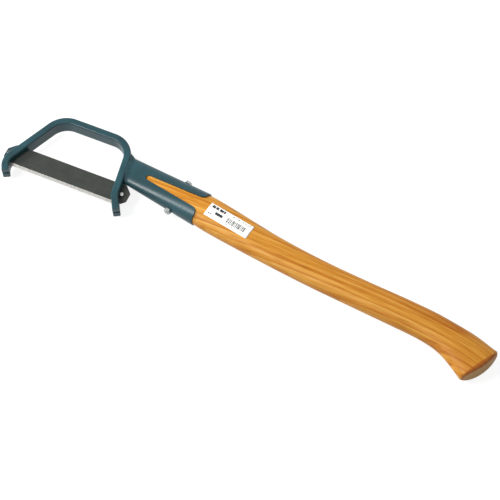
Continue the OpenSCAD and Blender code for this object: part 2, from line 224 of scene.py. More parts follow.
# %% [markdown]
# ## The floor
# The ground was cut out of the photograph and is pure white. A floor that glowed white would give the same
# picture, but the axe would seem to float, so this one also takes a faint shadow. What the camera sees of it,
# straight or in a reflection, is mostly a glow of its own, and for the lamps' light it is a pale matt sheet.

# %% Floor
FLOOR_X, FLOOR_RADIUS, FLOOR_DROP = 0.12, 4.0, 0.1 * MM

floor_mesh = bpy.data.meshes.new("studio_floor")
shape = bmesh.new()
bmesh.ops.create_circle(shape, cap_ends=True, segments=64, radius=FLOOR_RADIUS)
bmesh.ops.translate(shape, verts=shape.verts, vec=(FLOOR_X, 0, cad_box[0].z - FLOOR_DROP))
shape.to_mesh(floor_mesh)
shape.free()
floor = bpy.data.objects.new("studio_floor", floor_mesh)
bpy.context.scene.collection.objects.link(floor)
floor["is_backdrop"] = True

floor_paint = bpy.data.materials.new("pale_floor")
floor_paint.use_nodes = True
tree = floor_paint.node_tree
tree.nodes.remove(tree.nodes["Principled BSDF"])
plain = add(tree, "BsdfDiffuse", {"Color": colour("E6E6E6")}).outputs[0]
shadowed = add(tree, "BsdfDiffuse", {"Color": colour("787878")}).outputs[0]
glow = add(tree, "Emission", {"Color": colour("FFFFFF"), "Strength": 0.87}).outputs[0]
lit = add(tree, "AddShader", {0: shadowed, 1: glow}).outputs[0]
both = add(tree, "MixShader", {0: seen_directly(tree), 1: plain, 2: lit}).outputs[0]
tree.links.new(both, tree.nodes["Material Output"].inputs["Surface"])
floor_mesh.materials.append(floor_paint)
print("floor at z =", round((cad_box[0].z - FLOOR_DROP) / MM, 2), "mm")

# %% [markdown]
# ## Helpers for pieces
# Most of the axe is made of sheets that were rolled or carved to a smooth shape. Such a piece starts as a
# flat grid, like a sheet blank, and every point of the grid is then carried to its place on the real shape.
# Its faces stay in tidy rows, which shade smoothly. A finished bmesh becomes an object that rides on its CAD
# body, stands for its CAD node and takes its materials. A fine curve would stand a few hundredths of a
# millimetre past the flat facets of the measured model, so such a surface is held a hair inside it.

# %% Piece helpers
HAIR = 0.02 * MM


def finish_piece(bm, name, body, node, materials, smooth_angle=50):
    """Turns a bmesh into the visible piece that stands for a CAD node."""
    bmesh.ops.recalc_face_normals(bm, faces=bm.faces)
    mesh = bpy.data.meshes.new(name)
    bm.to_mesh(mesh)
    bm.free()
    mesh.shade_smooth()
    mesh.set_sharp_from_angle(angle=math.radians(smooth_angle))
    piece = bpy.data.objects.new(name, mesh)
    bpy.context.scene.collection.objects.link(piece)
    for m in materials:
        mesh.materials.append(m)
    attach(piece, body)
    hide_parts(node)
    print(f"{name}: {len(mesh.vertices)} points, {len(mesh.polygons)} faces")
    return piece


def shaped_grid(across, along, place):
    """A flat grid carried point by point to place(s, t). Both run from 0 to 1 and are kept as its UV map."""
    bm = bmesh.new()
    bmesh.ops.create_grid(bm, x_segments=across, y_segments=along, size=0.5)
    uv = bm.loops.layers.uv.new("UVMap")
    for face in bm.faces:
        for loop in face.loops:
            loop[uv].uv = (loop.vert.co.x + 0.5, loop.vert.co.y + 0.5)
    for v in bm.verts:
        v.co = place(v.co.x + 0.5, v.co.y + 0.5)
    return bm


def close_seams(bm, reach=0.02 * MM):
    """Joins points that met when the sheet was rolled, and drops what closed up to nothing."""
    bmesh.ops.remove_doubles(bm, verts=bm.verts, dist=reach)
    bmesh.ops.dissolve_degenerate(bm, dist=reach / 4, edges=bm.edges)


def between(a, b, k):
    """The value a share k of the way from a to b."""
    return a + (b - a) * k


def round_edges(piece, width, segments, angle=40):
    """A live bevel on sharp edges, and normals that keep the flat faces flat beside it."""
    bevel = piece.modifiers.new("rounded_edges", "BEVEL")
    bevel.width = width
    bevel.segments = segments
    bevel.limit_method = "ANGLE"
    bevel.angle_limit = math.radians(angle)
    bevel.miter_outer = "MITER_ARC"
    weighted = piece.modifiers.new("even_normals", "WEIGHTED_NORMAL")
    weighted.keep_sharp = True


print("surfaces are held inside the measured box by", round(HAIR / MM, 3), "mm")

# %% [markdown]
# ## Stove enamel
# The bow, the socket and their weld are painted in one dark teal enamel, sprayed and baked on. Baked enamel
# is a smooth semi-gloss skin with a faint orange peel, its tone shifts a little from place to place, and
# dust nibs catch the light. One flat colour would look like plastic, so a slow noise drives tone and gloss,
# and a fine one adds the nibs. The peel is only a bump, because it is too shallow to change an outline. Real
# peel has waves of about 1 mm; here they are 3 mm so that they show.

# %% Teal enamel
teal_enamel, tree, shader = new_material("teal_stove_enamel", IOR=1.5, Specular_IOR_Level=0.36)
spot = object_points(tree)
drift = add(tree, "TexNoise", {"Vector": spot, "Scale": per_mm(38), "Detail": 4.0}).outputs[0]
tone = add(
    tree, "ValToRGB", {0: drift},
    stops=[(0.3, colour("143237")), (0.7, colour("1E444B")), (0.5, colour("183A41"))],
).outputs[0]
nibs = add(tree, "TexNoise", {"Vector": spot, "Scale": per_mm(1.6), "Detail": 2.0}).outputs[0]
dusty = add(tree, "ValToRGB", {0: nibs}, stops=[(0.62, 0.0), (0.74, 0.30)]).outputs[0]
painted = add(tree, "Mix", {0: dusty, 6: tone, 7: colour("2C525B")}, data_type="RGBA").outputs[2]
peel = add(tree, "TexNoise", {"Vector": spot, "Scale": per_mm(3.0), "Detail": 1.0}).outputs[0]
dress(tree, shader, painted, peel, 0.16, 0.12 * MM, drift, (0.30, 0.39))
print("enamel:", teal_enamel.name)

# %% [markdown]
# ## Blackened strip steel
# The blade is spring steel with a blackened oxide skin: dark grey-green, dull, with rolling marks along its
# length. When the bow was sprayed, a little enamel got onto the blade's tang at the toe and onto the pin
# there. Oxide isn't bare metal, so the shader is only partly metallic. The marks are a noise drawn out along
# the strip, and a rounder noise stains it, because evenly dark steel would look like rubber.

# %% Blade skin
HEAD_TILT = math.radians(8.4)
HEAD_AT = Vector((-0.146, -0.0487, 0.0))
SPRAY_STARTS, SPRAY_FULL = -223 * MM, -227 * MM


def sprayed_over(tree, metal, most):
    """The metal's colour with enamel over it beyond the toe leg, where most is the enamel's share."""
    here = add(tree, "TexCoord").outputs["Object"]
    along = add(tree, "SeparateXYZ", {0: here}).outputs[0]
    cover = add(tree, "MapRange", {0: along, 1: SPRAY_STARTS, 2: SPRAY_FULL, 3: 0.0, 4: most}).outputs[0]
    return add(tree, "Mix", {0: cover, 6: metal, 7: colour("1E3C45")}, data_type="RGBA").outputs[2]


black_steel, tree, shader = new_material("blackened_spring_steel", Metallic=0.35)
rolled = object_points(tree, stretch=(0.03, 1, 1), turn=(0, 0, -HEAD_TILT))
spot = object_points(tree)
marks = add(tree, "TexNoise", {"Vector": rolled, "Scale": per_mm(1.1), "Detail": 3.0}).outputs[0]
stains = add(tree, "TexNoise", {"Vector": spot, "Scale": per_mm(14), "Detail": 5.0}).outputs[0]
skin = add(
    tree, "ValToRGB", {0: marks}, stops=[(0.32, colour("2F332E")), (0.68, colour("393C37"))]
).outputs[0]
stain_tone = add(tree, "ValToRGB", {0: stains}, stops=[(0.35, 0.80), (0.62, 1.0)]).outputs[0]
oxide = add(
    tree, "Mix", {0: 1.0, 6: skin, 7: stain_tone}, data_type="RGBA", blend_type="MULTIPLY"
).outputs[2]
dress(tree, shader, sprayed_over(tree, oxide, 0.9), marks, 0.25, 0.05 * MM, stains, (0.52, 0.64))
print("blade skin:", black_steel.name)

# %% [markdown]
# ## Ground steel and zinc plate
# The blade's cutting edge is ground bright, and the grinding wheel leaves fine lines across it. Those are a
# few hundredths of a millimetre apart in fact, and more than 2 mm here so that they can be seen. Pins, bolt
# and nut are bright zinc plate: grey, slightly mottled and softly shiny. Both are full metals, whose look is
# mostly the white room that they reflect, so what matters most is how rough they are.

# %% Ground edge and fasteners
ground_steel, tree, shader = new_material("ground_edge_steel", Metallic=1.0)
wheel = object_points(tree, stretch=(1, 0.05, 1), turn=(0, 0, -HEAD_TILT))
lines = add(tree, "TexNoise", {"Vector": wheel, "Scale": per_mm(2.4), "Detail": 1.0}).outputs[0]
bright = add(
    tree, "ValToRGB", {0: lines}, stops=[(0.3, colour("979591")), (0.7, colour("A6A4A0"))]
).outputs[0]
dress(tree, shader, bright, lines, 0.08, 0.04 * MM, lines, (0.40, 0.48))

zinc_plate, tree, shader = new_material("bright_zinc_plate", Metallic=1.0)
spot = object_points(tree)
mottle = add(tree, "TexNoise", {"Vector": spot, "Scale": per_mm(1.8), "Detail": 4.0}).outputs[0]
plate = add(
    tree, "ValToRGB", {0: mottle}, stops=[(0.3, colour("979B9A")), (0.7, colour("C4C9C9"))]
).outputs[0]
dress(tree, shader, sprayed_over(tree, plate, 0.75), mottle, 0.2, 0.04 * MM, mottle, (0.28, 0.44))
print("bright metals:", ground_steel.name, zinc_plate.name)

# %% [markdown]
# ## Ash: which way the grain runs
# The handle is split from straight-grained ash, shaved to size, sanded and varnished. A wood pattern could be
# wrapped round its surface, but real lines run right through the board, so this one fills space. The lines
# cross the handle at a slight slant and bend near the butt. The pattern gets coordinates of its own that do
# the same: across the handle they are pushed over by a tenth of the distance along it, and past the place
# where the bend starts also by the cube of the distance from there.

# %% The grain's coordinates
BUTT_X, BUTT_MIDDLE, BUTT_SLANT = 454.5, -9.8, 22.6
BUTT_SLOPE = math.radians(BUTT_SLANT)
BUTT_AT = Vector((BUTT_X, BUTT_MIDDLE, 0)) * MM
BUTT_NORMAL = Vector((math.cos(BUTT_SLOPE), -math.sin(BUTT_SLOPE), 0))
GRAIN_SLANT, GRAIN_BENDS_AT, GRAIN_BEND = 0.10, 0.25, 1.85

ash, tree, shader = new_material(
    "varnished_ash", IOR=1.5, Specular_IOR_Level=0.28, Coat_Weight=0.04, Coat_Roughness=0.35,
)
here = add(tree, "TexCoord").outputs["Object"]
axes = add(tree, "SeparateXYZ", {0: here}).outputs
ahead = add(tree, "Math", {0: axes[0], 1: GRAIN_BENDS_AT}, operation="SUBTRACT").outputs[0]
past = add(tree, "Math", {0: ahead, 1: 0.0}, operation="MAXIMUM").outputs[0]
cubed = add(tree, "Math", {0: past, 1: 3.0}, operation="POWER").outputs[0]
bent = add(tree, "Math", {0: cubed, 1: GRAIN_BEND, 2: axes[1]}, operation="MULTIPLY_ADD").outputs[0]
slanted = add(tree, "Math", {0: axes[0], 1: -GRAIN_SLANT, 2: bent}, operation="MULTIPLY_ADD").outputs[0]
straight = add(tree, "CombineXYZ", {0: axes[0], 1: slanted, 2: axes[2]}).outputs[0]
print("butt faces", [round(part, 3) for part in BUTT_NORMAL])

# %% [markdown]
# ## Ash: growth lines, streaks and pores
# Each year's growth ends in a line. A saw-tooth wave draws these lines 7.5 mm apart, and three noises, drawn
# out along the fibres, break them up: broad streaks, narrow ones and fine fibres. Their weighted sum goes
# through a colour ramp from brown to pale amber, and the lowest parts of the fibres are darkened as pores.

# %% Growth lines and streaks
YEAR_GAP = 7.48


def grain(length_share, depth_share):
    """The wood's own coordinates, shrunk along the fibres and in depth so that a noise is drawn out there."""
    shrink = (length_share, 1, depth_share)
    return add(tree, "VectorMath", {0: straight, 1: shrink}, operation="MULTIPLY").outputs[0]


broad = add(
    tree, "TexNoise", {"Vector": grain(0.035, 0.5), "Scale": per_mm(12), "Detail": 2.0, "Distortion": 0.5}
).outputs[0]
narrow = add(
    tree, "TexNoise", {"Vector": grain(0.024, 0.4), "Scale": per_mm(4.2), "Detail": 3.0}
).outputs[0]
fibres = add(tree, "TexNoise", {"Vector": grain(0.05, 0.5), "Scale": per_mm(1.5), "Detail": 3.0}).outputs[0]
years = add(
    tree, "TexWave",
    {"Vector": grain(0.03, 0.3), "Scale": lines_apart(YEAR_GAP), "Distortion": 5.0, "Detail": 2.0},
    wave_type="BANDS", bands_direction="Y", wave_profile="SAW",
).outputs[1]
figure = 0.0
for pattern, weight in ((broad, 0.26), (narrow, 0.34), (fibres, 0.28), (years, 0.14)):
    figure = add(tree, "Math", {0: pattern, 1: weight, 2: figure}, operation="MULTIPLY_ADD").outputs[0]
timber = add(
    tree, "ValToRGB", {0: figure},
    stops=[
        (0.35, colour("9B5B0E")), (0.68, colour("D5A254")),
        (0.45, colour("B17019")), (0.56, colour("C38932")),
    ],
).outputs[0]
pores = add(tree, "ValToRGB", {0: fibres}, stops=[(0.30, 0.82), (0.40, 1.0)]).outputs[0]
pored = add(tree, "Mix", {0: 1.0, 6: timber, 7: pores}, data_type="RGBA", blend_type="MULTIPLY").outputs[2]
print("growth lines every", YEAR_GAP, "mm")

# %% [markdown]
# ## Ash: its tone from end to end
# Three things change the board's tone. It deepens slowly towards the butt. Beyond one wandering line near the
# far edge lies darker late wood, which shows most near the butt. Over the last 1.8 mm before the end face,
# the butt's rim is darkened to brown. Each could be painted by hand, but a mask from the coordinates stays in
# place on any copy of the handle. The varnish makes the wood satin, a little rougher where the fibres are
# low.

# %% Tone of the ash
LATE_SLANT, LATE_STARTS, LATE_FULL, LATE_WANDER = 0.12, -35.2 * MM, -34.2 * MM, 4 * MM
RIM_STARTS, RIM_FULL, RIM_MOST = -1.8 * MM, -0.6 * MM, 0.8
PALE_END, DEEP_END = 50 * MM, 480 * MM

towards_butt = add(
    tree, "MapRange", {0: axes[0], 1: PALE_END, 2: DEEP_END, 3: 0.0, 4: 1.0}
).outputs[0]
deeper = add(
    tree, "Mix", {0: towards_butt, 6: pored, 7: colour("F1E9CE")}, data_type="RGBA", blend_type="MULTIPLY"
).outputs[2]
crossing = add(tree, "Math", {0: axes[0], 1: -LATE_SLANT, 2: axes[1]}, operation="MULTIPLY_ADD").outputs[0]
wandering = add(tree, "Math", {0: broad, 1: LATE_WANDER, 2: crossing}, operation="MULTIPLY_ADD").outputs[0]
late_wood = add(tree, "MapRange", {0: wandering, 1: LATE_STARTS, 2: LATE_FULL, 3: 0.0, 4: 1.0}).outputs[0]
strength = add(
    tree, "ValToRGB", {0: axes[0]},
    stops=[(0.16, 0.1), (0.44, 0.2), (0.30, 0.35), (0.36, 0.5), (0.41, 1.0)],
).outputs[0]
how_late = add(tree, "Math", {0: late_wood, 1: strength}, operation="MULTIPLY").outputs[0]
flamed = add(
    tree, "Mix", {0: how_late, 6: deeper, 7: colour("E6CE9E")}, data_type="RGBA", blend_type="MULTIPLY"
).outputs[2]
# The ash is darkened to brown over the last 1.8 mm before the butt's end face.
from_butt = add(tree, "VectorMath", {0: here, 1: BUTT_AT}, operation="SUBTRACT").outputs[0]
past_rim = add(tree, "VectorMath", {0: from_butt, 1: BUTT_NORMAL}, operation="DOT_PRODUCT").outputs["Value"]
rim_dark = add(tree, "MapRange", {0: past_rim, 1: RIM_STARTS, 2: RIM_FULL, 3: 0.0, 4: RIM_MOST}).outputs[0]
edged = add(tree, "Mix", {0: rim_dark, 6: flamed, 7: colour("8F470F")}, data_type="RGBA").outputs[2]
dress(tree, shader, edged, fibres, 0.3, 0.10 * MM, fibres, (0.60, 0.48))
print("wood:", ash.name, "with", len(tree.nodes), "nodes")

# %% [markdown]
# ## Ash: end grain
# On the butt's end the same growth lines are seen end-on, as arcs, here 2.8 mm apart. The face is dull,
# brown-grey and porous, because end grain soaks up the varnish. A wave in rings whose middle lies off the
# piece gives shallow arcs, and a Voronoi pattern gives the open pores as round dots, which a noise wouldn't.

# %% End grain
ARC_GAP = 2.8274
end_grain, tree, shader = new_material("ash_end_grain", IOR=1.5, Roughness=0.72)
sawn = object_points(tree, turn=(0, 0, BUTT_SLOPE), shift=(0, -0.150, 0.045))
arcs = add(
    tree, "TexWave",
    {"Vector": sawn, "Scale": lines_apart(ARC_GAP), "Distortion": 4.0, "Detail": 3.0},
    wave_type="RINGS", rings_direction="X",
).outputs[1]
dots = add(tree, "TexVoronoi", {"Vector": sawn, "Scale": per_mm(1.5)}).outputs[0]
arc_tone = add(
    tree, "ValToRGB", {0: arcs}, stops=[(0.2, colour("916B3F")), (0.8, colour("AC8550"))]
).outputs[0]
dot_tone = add(tree, "ValToRGB", {0: dots}, stops=[(0.10, 0.62), (0.32, 1.0)]).outputs[0]
porous = add(
    tree, "Mix", {0: 1.0, 6: arc_tone, 7: dot_tone}, data_type="RGBA", blend_type="MULTIPLY"
).outputs[2]
dress(tree, shader, porous, dots, 0.4, 0.2 * MM)
print("end grain:", end_grain.name)

# %% [markdown]
# ## Printed paper
# The label is glossy white paper with small dark printing. A picture could be laid on it, but a few boxes on
# its own UV map are enough: a heading of blocks, a small patch, short lines that stand for small print, and a
# row of bars. They are only blocks and bars, and spell nothing. In each box a noise that runs along the label
# is inked where it is above a limit.

# %% Label paper
label_paper, tree, shader = new_material("printed_label_paper", IOR=1.45, Roughness=0.42)
uv = add(tree, "UVMap", uv_map="UVMap").outputs[0]
uv_parts = add(tree, "SeparateXYZ", {0: uv}).outputs
# Each mark: middle and half size of its box along the label, the same across it, blotches per length, limit
MARKS = [
    (0.205, 0.155, 0.81, 0.10, 26, 0.40),
    (0.27, 0.085, 0.45, 0.10, 5, 0.30),
    (0.085, 0.055, 0.25, 0.045, 60, 0.46),
    (0.73, 0.21, 0.86, 0.035, 70, 0.50),
    (0.68, 0.215, 0.44, 0.19, 62, 0.50),
    (0.68, 0.20, 0.16, 0.03, 75, 0.52),
]
ink = 0.0
for middle_u, half_u, middle_v, half_v, blotches, limit in MARKS:
    in_u, in_v = (
        add(tree, "Math", {0: part, 1: middle, 2: half}, operation="COMPARE").outputs[0]
        for part, middle, half in ((uv_parts[0], middle_u, half_u), (uv_parts[1], middle_v, half_v))
    )
    strip = add(
        tree, "TexNoise", {"W": uv_parts[0], "Scale": blotches, "Detail": 1.0}, noise_dimensions="1D"
    ).outputs[0]
    inked = add(tree, "Math", {0: strip, 1: limit}, operation="GREATER_THAN").outputs[0]
    box = add(tree, "Math", {0: in_u, 1: in_v}, operation="MULTIPLY").outputs[0]
    mark = add(tree, "Math", {0: box, 1: inked}, operation="MULTIPLY").outputs[0]
    ink = add(tree, "Math", {0: ink, 1: mark}, operation="MAXIMUM").outputs[0]
spot = object_points(tree)
pulp = add(tree, "TexNoise", {"Vector": spot, "Scale": per_mm(1.2), "Detail": 4.0}).outputs[0]
sheet_tone = add(
    tree, "ValToRGB", {0: pulp}, stops=[(0.3, colour("ECEBE7")), (0.7, colour("F6F5F2"))]
).outputs[0]
printed = add(tree, "Mix", {0: ink, 6: sheet_tone, 7: colour("2B2E30")}, data_type="RGBA").outputs[2]
dress(tree, shader, printed, pulp, 0.1, 0.03 * MM)
print("label marks:", len(MARKS))

# %% [markdown]
# ## The bow
# The bow is one flat bar with rounded long edges, bent cold round formers at four places. A curve with a
# bevel could stand for it, but its ends and slots would need cutting, so the bar is made as the smith makes
# it: draw its section once, push it along each straight run, and spin it round each bend. The corners of the
# path and the bend radii are the measured model's, in the head's own frame, whose first axis runs along the
# blade and whose second axis points to the back of the bow. The bar is a hair thinner than the model's.

# %% Bend the bow
BAR_T, BAR_W, BAR_ROUND = 9.8 * MM - HAIR, 20 * MM, 2.1 * MM
BLADE_W, BLADE_T, SLOT_GAP = 31.4 * MM, 2 * MM, 0.2 * MM
DEGREES_PER_STEP = 4
BOW_PATH = [
    Vector((u, v, 0)) * MM
    for u, v in ((87.3, -26), (75.2, -6), (61.5, 74), (-42.4, 74), (-82.8, -14), (-74.4, -29))
]
BEND_RADII = [0, 20 * MM, 30.5 * MM, 30.5 * MM, 20 * MM, 0]
TO_PART = Matrix.Translation(HEAD_AT) @ Matrix.Rotation(HEAD_TILT, 4, "Z")
UP = Vector((0, 0, 1))


def run_of(i):
    """The direction of the bow's straight run that starts at corner i."""
    return (BOW_PATH[i + 1] - BOW_PATH[i]).normalized()


def turn_of(i):
    """How far the bar turns at corner i, to the left if positive."""
    a, b = run_of(i - 1), run_of(i)
    return math.atan2(a.cross(b).z, a.dot(b))


def bend_start(i):
    """How far before corner i its bend begins."""
    inside = 0 < i < len(BOW_PATH) - 1
    return BEND_RADII[i] * math.tan(abs(turn_of(i)) / 2) if inside else 0.0


def bar_section(bm, at, direction):
    """The ring of edges round the bar's rounded section, at a point of the path."""
    bmesh.ops.create_grid(bm, x_segments=1, y_segments=1, size=0.5)
    bmesh.ops.scale(bm, verts=bm.verts, vec=(BAR_T, BAR_W, 1))
    bmesh.ops.bevel(
        bm, geom=bm.verts[:], offset=BAR_ROUND, segments=5, profile=0.5, affect="VERTICES", material=-1,
    )
    bmesh.ops.delete(bm, geom=bm.faces[:], context="FACES_ONLY")
    across = Matrix((UP.cross(direction), UP, direction)).transposed().to_4x4()
    bmesh.ops.transform(bm, verts=bm.verts, matrix=Matrix.Translation(at) @ across)
    return bm.edges[:]


bow = bmesh.new()
ring = bar_section(bow, BOW_PATH[0], run_of(0))
for i in range(len(BOW_PATH) - 1):
    length = (BOW_PATH[i + 1] - BOW_PATH[i]).length - bend_start(i) - bend_start(i + 1)
    pushed = bmesh.ops.extrude_edge_only(bow, edges=ring)["geom"]
    moved = [g for g in pushed if isinstance(g, bmesh.types.BMVert)]
    bmesh.ops.translate(bow, verts=moved, vec=run_of(i) * length)
    ring = [g for g in pushed if isinstance(g, bmesh.types.BMEdge)]
    if i + 1 < len(BOW_PATH) - 1:
        turn = turn_of(i + 1)
        side = UP.cross(run_of(i)) * math.copysign(BEND_RADII[i + 1], turn)
        centre = BOW_PATH[i + 1] - run_of(i) * bend_start(i + 1) + side
        spun = bmesh.ops.spin(
            bow, geom=ring + list({v for e in ring for v in e.verts}), cent=centre, axis=UP, angle=turn,
            steps=max(5, round(abs(math.degrees(turn)) / DEGREES_PER_STEP)), use_duplicate=False,
        )["geom_last"]
        ring = [g for g in spun if isinstance(g, bmesh.types.BMEdge)]
bmesh.ops.holes_fill(bow, edges=[e for e in bow.edges if e.is_boundary], sides=0)
bmesh.ops.recalc_face_normals(bow, faces=bow.faces)
print("bow swept:", len(bow.faces), "faces")

# %% [markdown]
# Each leg has a saw cut for the blade, open at the leg's end. A thin box stands for the saw blade, and a
# Boolean takes it away from the bar, because that gives the same clean slot whatever the leg's bend is.

# %% Saw the slots
def solid_cut(bm, cutter):
    """The first bmesh with the second one cut out of it."""
    made = []
    for shape_to_cut in (bm, cutter):
        mesh = bpy.data.meshes.new("cutting")
        shape_to_cut.to_mesh(mesh)
        shape_to_cut.free()
        made.append(bpy.data.objects.new("cutting", mesh))
        bpy.context.scene.collection.objects.link(made[-1])
    boolean = made[0].modifiers.new("cut", "BOOLEAN")
    boolean.operation = "DIFFERENCE"
    boolean.solver = "EXACT"
    boolean.object = made[1]
    bpy.context.view_layer.update()
    result = bmesh.new()
    result.from_object(made[0], bpy.context.evaluated_depsgraph_get())
    for thing in made:
        bpy.data.objects.remove(thing)
    return result


SLOT_BACK, SLOT_FRONT, SAW_LENGTH = BLADE_W / 2 + SLOT_GAP, -40 * MM, 300 * MM
saw = bmesh.new()
bmesh.ops.create_cube(saw, size=1.0)
bmesh.ops.scale(saw, verts=saw.verts, vec=(SAW_LENGTH, SLOT_BACK - SLOT_FRONT, BLADE_T + 2 * SLOT_GAP))
bmesh.ops.translate(saw, verts=saw.verts, vec=(0, (SLOT_BACK + SLOT_FRONT) / 2, 0))
bow = solid_cut(bow, saw)
bmesh.ops.transform(bow, verts=bow.verts, matrix=TO_PART)
bow_bar = finish_piece(bow, "bow_bar", "axe", "bow_frame", [teal_enamel])
round_edges(bow_bar, 0.55 * MM, 3)

# %% [markdown]
# ## The strip blade
# The blade is sheared from strip, its corners are cut off, and its front edge is ground from both sides. It
# could be cut from a plate again, but the measured model already has exactly that shape, so a copy of it is
# cleaned up: its loose triangles are merged into flat faces, the sheared edges get a tiny rounding, and the
# ground faces are given the bright finish.

# %% Blade
def clean_copy(node):
    """A merged bmesh copy of a CAD node, with its flat faces in one piece."""
    bm = bmesh.new()
    bm.from_mesh(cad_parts[node].data)
    bmesh.ops.remove_doubles(bm, verts=bm.verts, dist=0.005 * MM)
    bmesh.ops.dissolve_limit(bm, angle_limit=math.radians(0.5), verts=bm.verts, edges=bm.edges)
    return bm


def soften(bm, width, segments, sharper_than=25):
    """Rounds the edges of a bmesh that are sharper than an angle."""
    sharp = [e for e in bm.edges if e.is_manifold and e.calc_face_angle() > math.radians(sharper_than)]
    bmesh.ops.bevel(
        bm, geom=sharp, offset=width, segments=segments, profile=0.5, affect="EDGES", material=-1,
        clamp_overlap=True,
    )


BEVEL_W = 3.8 * MM
strip = clean_copy("blade")
soften(strip, 0.12 * MM, 2, sharper_than=50)
to_head = TO_PART.inverted()
for face in strip.faces:
    across = (to_head @ face.calc_center_median()).y
    face.material_index = 1 if across < BEVEL_W - BLADE_W / 2 else 0
finish_piece(strip, "blade_strip", "axe", "blade", [black_steel, ground_steel], 8)

# %% [markdown]
# ## The blade pins
# Each pin is a small turned part: a shank through the tang and a rounded head above it. A cylinder with a
# bevel comes close, but a turned part is best made as on a lathe, from a half profile spun once round its
# axis, because every fillet can then have its own size. Each pin rides on its own body, because it can be
# pulled up and out to change the blade.

# %% Turn the pins
def turned(profile, axis_at, axis=UP, steps=40):
    """A closed solid of revolution from a half profile of (radius, height) pairs."""
    bm = bmesh.new()
    points = [bm.verts.new((r, 0, h)) for r, h in profile]
    edges = [bm.edges.new(pair) for pair in zip(points, points[1:])]
    bmesh.ops.spin(
        bm, geom=points + edges, cent=(0, 0, 0), axis=(0, 0, 1), angle=2 * math.pi, steps=steps,
        use_merge=True,
    )
    bmesh.ops.remove_doubles(bm, verts=bm.verts, dist=0.002 * MM)
    upright = Vector((0, 0, 1)).rotation_difference(axis).to_matrix().to_4x4()
    bmesh.ops.transform(bm, verts=bm.verts, matrix=Matrix.Translation(axis_at) @ upright)
    return bm


def arc(centre, radius, start, stop, steps=5):
    """Points of a round corner in a half profile, between two angles in degrees."""
    turns = [math.radians(between(start, stop, k / steps)) for k in range(steps + 1)]
    return [(centre[0] + radius * math.cos(t), centre[1] + radius * math.sin(t)) for t in turns]


PIN_D, PIN_HEAD_D, PIN_TOP, PIN_FOOT = 4.6 * MM, 5.8 * MM, 4.6 * MM, -5.0 * MM
HEAD_ROUND, FOOT_ROUND, LIP_ROUND = 1.1 * MM, 0.6 * MM, 0.2 * MM
pin_profile = (
    [(0, PIN_FOOT)]
    + arc((PIN_D / 2 - FOOT_ROUND, PIN_FOOT + FOOT_ROUND), FOOT_ROUND, -90, 0)
    + [(PIN_D / 2, BLADE_T / 2)]
    + arc((PIN_HEAD_D / 2 - LIP_ROUND, BLADE_T / 2 + LIP_ROUND), LIP_ROUND, -90, 0, 2)
    + arc((PIN_HEAD_D / 2 - HEAD_ROUND, PIN_TOP - HEAD_ROUND), HEAD_ROUND, 0, 80)
    + [(0, PIN_TOP)]
)
for pin in ("heel_pin", "toe_pin"):
    low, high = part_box(pin)
    at = Vector(((low.x + high.x) / 2, (low.y + high.y) / 2, 0))
    finish_piece(turned(pin_profile, at), f"{pin}_turned", pin, pin, [zinc_plate], 40)

# %% [markdown]
# ## The socket
# The real socket is cut from sheet as a shape with two long cheeks and rolled until it is an oval tube. A V
# is left open between the cheeks on both flat faces, and the wood shows there. The V could be cut out of a
# tube, but a Boolean leaves ragged rows of faces along it, so the socket is made as it is in the workshop:
# each cheek is a flat grid rolled round its own half of the oval. Towards the bow the two meet along the
# middle; towards the mouth their edges part to form the V, with a round tip and rounded corners.

# %% Oval section and the socket's outline
OVAL_POWER = 2.3
ROOT_A, ROOT_B, MOUTH_A, MOUTH_B = 19.3 * MM, 7.6 * MM, 24.1 * MM, 17 * MM
MOUTH_X, WALL = 36.5 * MM, 1.6 * MM
V_TIP_X, V_TIP_R, V_MOUTH_HALF, CHEEK_R = -50 * MM, 3.6 * MM, 9.6 * MM, 8 * MM


def oval(a, b, turn):
    """A point of the flattened oval with half sizes a and b, along its width and its thickness."""
    c, s = math.cos(turn), math.sin(turn)
    arm = 2 / OVAL_POWER
    return math.copysign(a * abs(c) ** arm, c), math.copysign(b * abs(s) ** arm, s)


def oval_turn(a, width):
    """The turn at which the oval of half width a is this far from its middle."""
    return math.acos(min(1.0, max(-1.0, abs(width) / a)) ** (OVAL_POWER / 2))


corner = BOW_PATH[2]
leg_down = -run_of(1)
leg_out = Vector((-leg_down.y, leg_down.x, 0))
leg_face = corner + leg_out * BAR_T / 2
leg_straight = leg_face + leg_down * bend_start(2)
round_middle = TO_PART @ (corner + leg_down * bend_start(2) - leg_out * BEND_RADII[2])
face_at, straight_at = TO_PART @ leg_face, TO_PART @ leg_straight
face_run = (TO_PART @ (leg_face + leg_down)) - face_at


def bow_face_x(y):
    """Where the bow's outer face is at a place across the socket, on its straight leg or round its corner."""
    if y < straight_at.y:
        return face_at.x + (y - face_at.y) * face_run.x / face_run.y
    reach = BEND_RADII[2] + BAR_T / 2
    return round_middle.x + math.sqrt(reach ** 2 - (y - round_middle.y) ** 2)


ROOT_X = bow_face_x(0)


def socket_size(x):
    """The socket's half width and half thickness at x."""
    k = (x - ROOT_X) / (MOUTH_X - ROOT_X)
    return between(ROOT_A, MOUTH_A, k), between(ROOT_B, MOUTH_B, k)


flare = math.atan2(V_MOUTH_HALF - V_TIP_R, MOUTH_X - V_TIP_X)
tip_middle = V_TIP_X + V_TIP_R
edge_x = tip_middle - V_TIP_R * math.sin(flare)
edge_y = V_TIP_R * math.cos(flare)
corner_x = MOUTH_X - CHEEK_R
corner_y = edge_y + math.tan(flare) * (corner_x - edge_x) + CHEEK_R / math.cos(flare)
leave_x = corner_x + CHEEK_R * math.sin(flare)


def v_half(x):
    """Half the V opening's width at x: its round tip, its straight flare, then the cheeks' round corners."""
    if x <= V_TIP_X:
        return 0.0
    if x < edge_x:
        return math.sqrt(max(0.0, V_TIP_R ** 2 - (x - tip_middle) ** 2))
    if x < leave_x:
        return edge_y + math.tan(flare) * (x - edge_x)
    return corner_y - math.sqrt(max(0.0, CHEEK_R ** 2 - (x - corner_x) ** 2))


